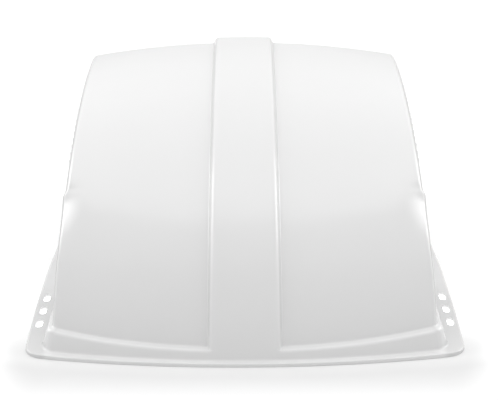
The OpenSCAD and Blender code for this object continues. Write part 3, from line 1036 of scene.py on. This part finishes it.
finish_piece(build_rear_screen(), "rear_insect_screen", "hood")
for sign, side in ((-1, "left"), (1, "right")):
    finish_piece(build_side_screen(sign, f"{side}_wire_screen"), f"{side}_insect_screen", "hood")

for name, obj in frame["nodes"].items():
    obj.data.materials.clear()
    obj.data.materials.append(MATERIALS[SLOT_OF[name]])


# Stage ---------------------------------------------------------------------------------------------------

# Sizes here are in metres. Painted light: the paper glows in strips under the side flanges, so that it shows
# bright through the slots
SLOT_GLOW = 0.9
GLOW_X = (0.234, 0.2515)
GLOW_Y = (-0.24, 0.23)
# Painted light: the paper glows in a band just before the lip, standing in for the light it throws on the
# lip; its strength, and how far out it reaches
LIP_GLOW = 0.08
LIP_GLOW_REACH = 0.030
# Painted shadow: a soft shadow painted on the paper round the front of the hood
SHADOW_HALF = 0.225
SHADOW_SIDE_RATE = 3.0
SHADOW_Y = -0.20
SHADOW_START = 0.115
SHADOW_END = 0.215
SHADOW_FADE_Y = (-0.20, -0.28)
PAPER_LIGHT = grey(0.92)
PAPER_SHADOW = grey(0.73)
PAPER_REACH = 12.0
CAMERA_Y = -1.7978
CAMERA_Z = 0.7432
CAMERA_PITCH = 20.1
CAMERA_ROLL = -0.25
SENSOR_MM = 36.0
LENS_MM = 106.4736
VIEW_SHIFT = 0.0114


def between(nt, value, low, high):
    """1 where the value lies between low and high, else 0."""
    return math_node(nt, "MULTIPLY", math_node(nt, "GREATER_THAN", value, low),
                     math_node(nt, "LESS_THAN", value, high))


def flat_distance(nt, x, y):
    """Length of the plan vector (x, y)."""
    squares = math_node(nt, "ADD", math_node(nt, "MULTIPLY", x, x), math_node(nt, "MULTIPLY", y, y))
    return math_node(nt, "SQRT", squares, 0.0)


def paper_shade(nt, side, y):
    """Strength of the soft shadow painted on the paper."""
    beyond = math_node(nt, "MAXIMUM", math_node(nt, "SUBTRACT", side, SHADOW_HALF), 0.0)
    over = math_node(nt, "MULTIPLY", beyond, SHADOW_SIDE_RATE)
    far = flat_distance(nt, over, math_node(nt, "SUBTRACT", y, SHADOW_Y))
    near = ramp_between(nt, far, SHADOW_END, SHADOW_START)
    ahead = ramp_between(nt, y, *SHADOW_FADE_Y)
    grain = spread(nt, noise(nt, 40, 4), 0.92, 1.0)
    return math_node(nt, "MULTIPLY", math_node(nt, "MULTIPLY", near, ahead), grain)


def paper_light(nt, side, y):
    """Strength of the painted light that the paper gives off under the slots and before the lip."""
    # painted light: glowing strips of paper under the slots
    strips = math_node(nt, "MULTIPLY", between(nt, side, *GLOW_X), between(nt, y, *GLOW_Y))
    # painted light: a glowing band of paper just before the lip
    from_centre = flat_distance(nt, side, math_node(nt, "SUBTRACT", y, LIP_CENTRE_Y * MM))
    lip_gap = math_node(nt, "SUBTRACT", from_centre, LIP_R * MM)
    lip_glow = math_node(nt, "MULTIPLY", ramp_between(nt, lip_gap, LIP_GLOW_REACH, 0.0), LIP_GLOW)
    return math_node(nt, "ADD", math_node(nt, "MULTIPLY", strips, SLOT_GLOW), lip_glow)


def build_floor():
    """A flat sheet of pale paper, with a painted soft grey shadow before the lip and painted light: the
    paper glows under the slots and just before the lip.
    """
    mesh = bpy.data.meshes.new("floor")
    reach = PAPER_REACH
    corners = [(-reach, -reach, 0), (reach, -reach, 0), (reach, reach, 0), (-reach, reach, 0)]
    mesh.from_pydata(corners, [], [(0, 1, 2, 3)])
    floor = new_object("floor", mesh)
    mat, nt, bsdf = node_material("floor_paper")
    coord = nt.nodes.new("ShaderNodeTexCoord")
    axes = nt.nodes.new("ShaderNodeSeparateXYZ")
    nt.links.new(coord.outputs["Object"], axes.inputs["Vector"])
    side = math_node(nt, "ABSOLUTE", axes.outputs["X"], 0.0)
    # painted shadow: the paper's colour goes from pale to the shadow grey after the shadow's strength
    tint(nt, bsdf, paper_shade(nt, side, axes.outputs["Y"]), PAPER_LIGHT, PAPER_SHADOW)
    bsdf.inputs["Emission Color"].default_value = (1, 1, 1, 1)
    nt.links.new(paper_light(nt, side, axes.outputs["Y"]), bsdf.inputs["Emission Strength"])
    bsdf.inputs["Roughness"].default_value = 0.9
    bsdf.inputs["Specular IOR Level"].default_value = 0.1
    mesh.materials.append(mat)


def area_light(name, place, target, size_x, size_y, power):
    light = bpy.data.lights.new(name, "AREA")
    light.shape = "RECTANGLE"
    light.size, light.size_y = size_x, size_y
    light.energy = power
    obj = new_object(name, light)
    obj.location = place
    obj.rotation_euler = (Vector(target) - Vector(place)).to_track_quat("-Z", "Y").to_euler()
    obj.visible_camera = False
    return obj


SOFTBOX_FADE = (1.0, 0.3)
SOFTBOX_SIDE_FADE = (0.5, 0.1)


def fade_softbox(obj):
    """Lets the softbox fade out towards its upper edge and its sides."""
    obj.data.use_nodes = True
    nt = obj.data.node_tree
    emission = nt.nodes["Emission"]
    geometry = nt.nodes.new("ShaderNodeNewGeometry")
    axes = nt.nodes.new("ShaderNodeSeparateXYZ")
    nt.links.new(geometry.outputs["Parametric"], axes.inputs["Vector"])
    centred = math_node(nt, "ABSOLUTE", math_node(nt, "SUBTRACT", axes.outputs["X"], 0.5), 0.0)
    across = ramp_between(nt, centred, *SOFTBOX_SIDE_FADE)
    upward = ramp_between(nt, axes.outputs["Y"], *SOFTBOX_FADE)
    nt.links.new(math_node(nt, "MULTIPLY", across, upward), emission.inputs["Strength"])


# Two broad soft lights behind the hood, one on each side
REAR_GLOW_AT = (0.58, 0.68, 0.45)
REAR_GLOW_WIDTH = 0.30
REAR_GLOW = 0.6
# Brightness of the studio tent from the front horizon, over the top, to the rear horizon
SKY = [(0.0, 0.77), (0.15, 0.78), (0.24, 0.80), (0.29, 0.81), (0.33, 0.77), (0.37, 0.68), (0.42, 0.56),
       (0.47, 0.54), (0.51, 0.62), (0.548, 0.95), (0.560, 2.00), (0.60, 2.12), (0.65, 1.82), (0.71, 1.66),
       (0.765, 1.47), (0.82, 1.17), (0.87, 0.90), (0.915, 0.76), (0.95, 0.60), (1.0, 0.45)]
# How much lower the bands of light reach at the sides of the tent
SKY_SIDE_SAG = 0.6
SKY_SAG_MAX = 0.045
SKY_MAX = 2.2


def tent_bands(nt, side, y, z):
    """Brightness of the tent over the top; side, y and z are the parts of a direction."""
    share = math_node(nt, "DIVIDE", math_node(nt, "ARCTAN2", z, math_node(nt, "MULTIPLY", y, -1.0)), math.pi)
    sag = math_node(nt, "MULTIPLY", math_node(nt, "MULTIPLY", side, side), SKY_SIDE_SAG)
    lowered = math_node(nt, "SUBTRACT", share, math_node(nt, "MINIMUM", sag, SKY_SAG_MAX))
    ramp = nt.nodes.new("ShaderNodeValToRGB")
    for place, level in SKY[1:-1]:
        ramp.color_ramp.elements.new(place)
    for element, (place, level) in zip(ramp.color_ramp.elements, SKY):
        element.position = place
        element.color = grey(level / SKY_MAX) + (1,)
    nt.links.new(lowered, ramp.inputs["Fac"])
    return math_node(nt, "MULTIPLY", ramp.outputs["Color"], SKY_MAX)


def rear_glow(nt, direction):
    """The two soft lights behind the hood, as a round bell about REAR_GLOW_AT."""
    gaps = [math_node(nt, "SUBTRACT", value, goal) for value, goal in zip(direction, REAR_GLOW_AT)]
    squares = [math_node(nt, "MULTIPLY", gap, gap) for gap in gaps]
    off = math_node(nt, "ADD", math_node(nt, "ADD", squares[0], squares[1]), squares[2])
    bell = math_node(nt, "EXPONENT", math_node(nt, "DIVIDE", off, -REAR_GLOW_WIDTH ** 2), 0.0)
    return math_node(nt, "MULTIPLY", bell, REAR_GLOW)


def build_world():
    world = bpy.data.worlds.new("studio")
    bpy.context.scene.world = world
    world.use_nodes = True
    nt = world.node_tree
    coord = nt.nodes.new("ShaderNodeTexCoord")
    axes = nt.nodes.new("ShaderNodeSeparateXYZ")
    nt.links.new(coord.outputs["Generated"], axes.inputs["Vector"])
    side = math_node(nt, "ABSOLUTE", axes.outputs["X"], 0.0)
    direction = (side, axes.outputs["Y"], axes.outputs["Z"])
    strength = math_node(nt, "ADD", tent_bands(nt, *direction), rear_glow(nt, direction))
    background = nt.nodes["Background"]
    background.inputs["Color"].default_value = (1, 1, 1, 1)
    nt.links.new(strength, background.inputs["Strength"])


def build_camera():
    cam = bpy.data.cameras.new("camera")
    cam.sensor_width = SENSOR_MM
    cam.lens = LENS_MM
    cam.shift_x = VIEW_SHIFT
    obj = new_object("camera", cam)
    obj.location = (0, CAMERA_Y, CAMERA_Z)
    look = Matrix.Rotation(math.radians(90 - CAMERA_PITCH), 4, "X")
    roll = Matrix.Rotation(math.radians(CAMERA_ROLL), 4, "Z")
    obj.matrix_world = Matrix.Translation(obj.location) @ look @ roll
    bpy.context.scene.camera = obj


def build_lights():
    """Two softboxes that only show as glints at the ledges, and a weak one above that shows no glint."""
    for hand in (-1, 1):
        box = area_light("side_softbox", (hand * 1.40, 0.84, 1.45), (hand * 0.22, -0.1, 0.12), 1.0, 1.5, 20)
        fade_softbox(box)
        box.visible_diffuse = False
    overhead = area_light("overhead_softbox", (0, 0.6, 2.0), (0, 0, 0.1), 1.2, 1.2, 5.4)
    overhead.visible_glossy = False


build_floor()
build_world()
build_camera()
build_lights()
bpy.context.scene.view_settings.view_transform = "Standard"
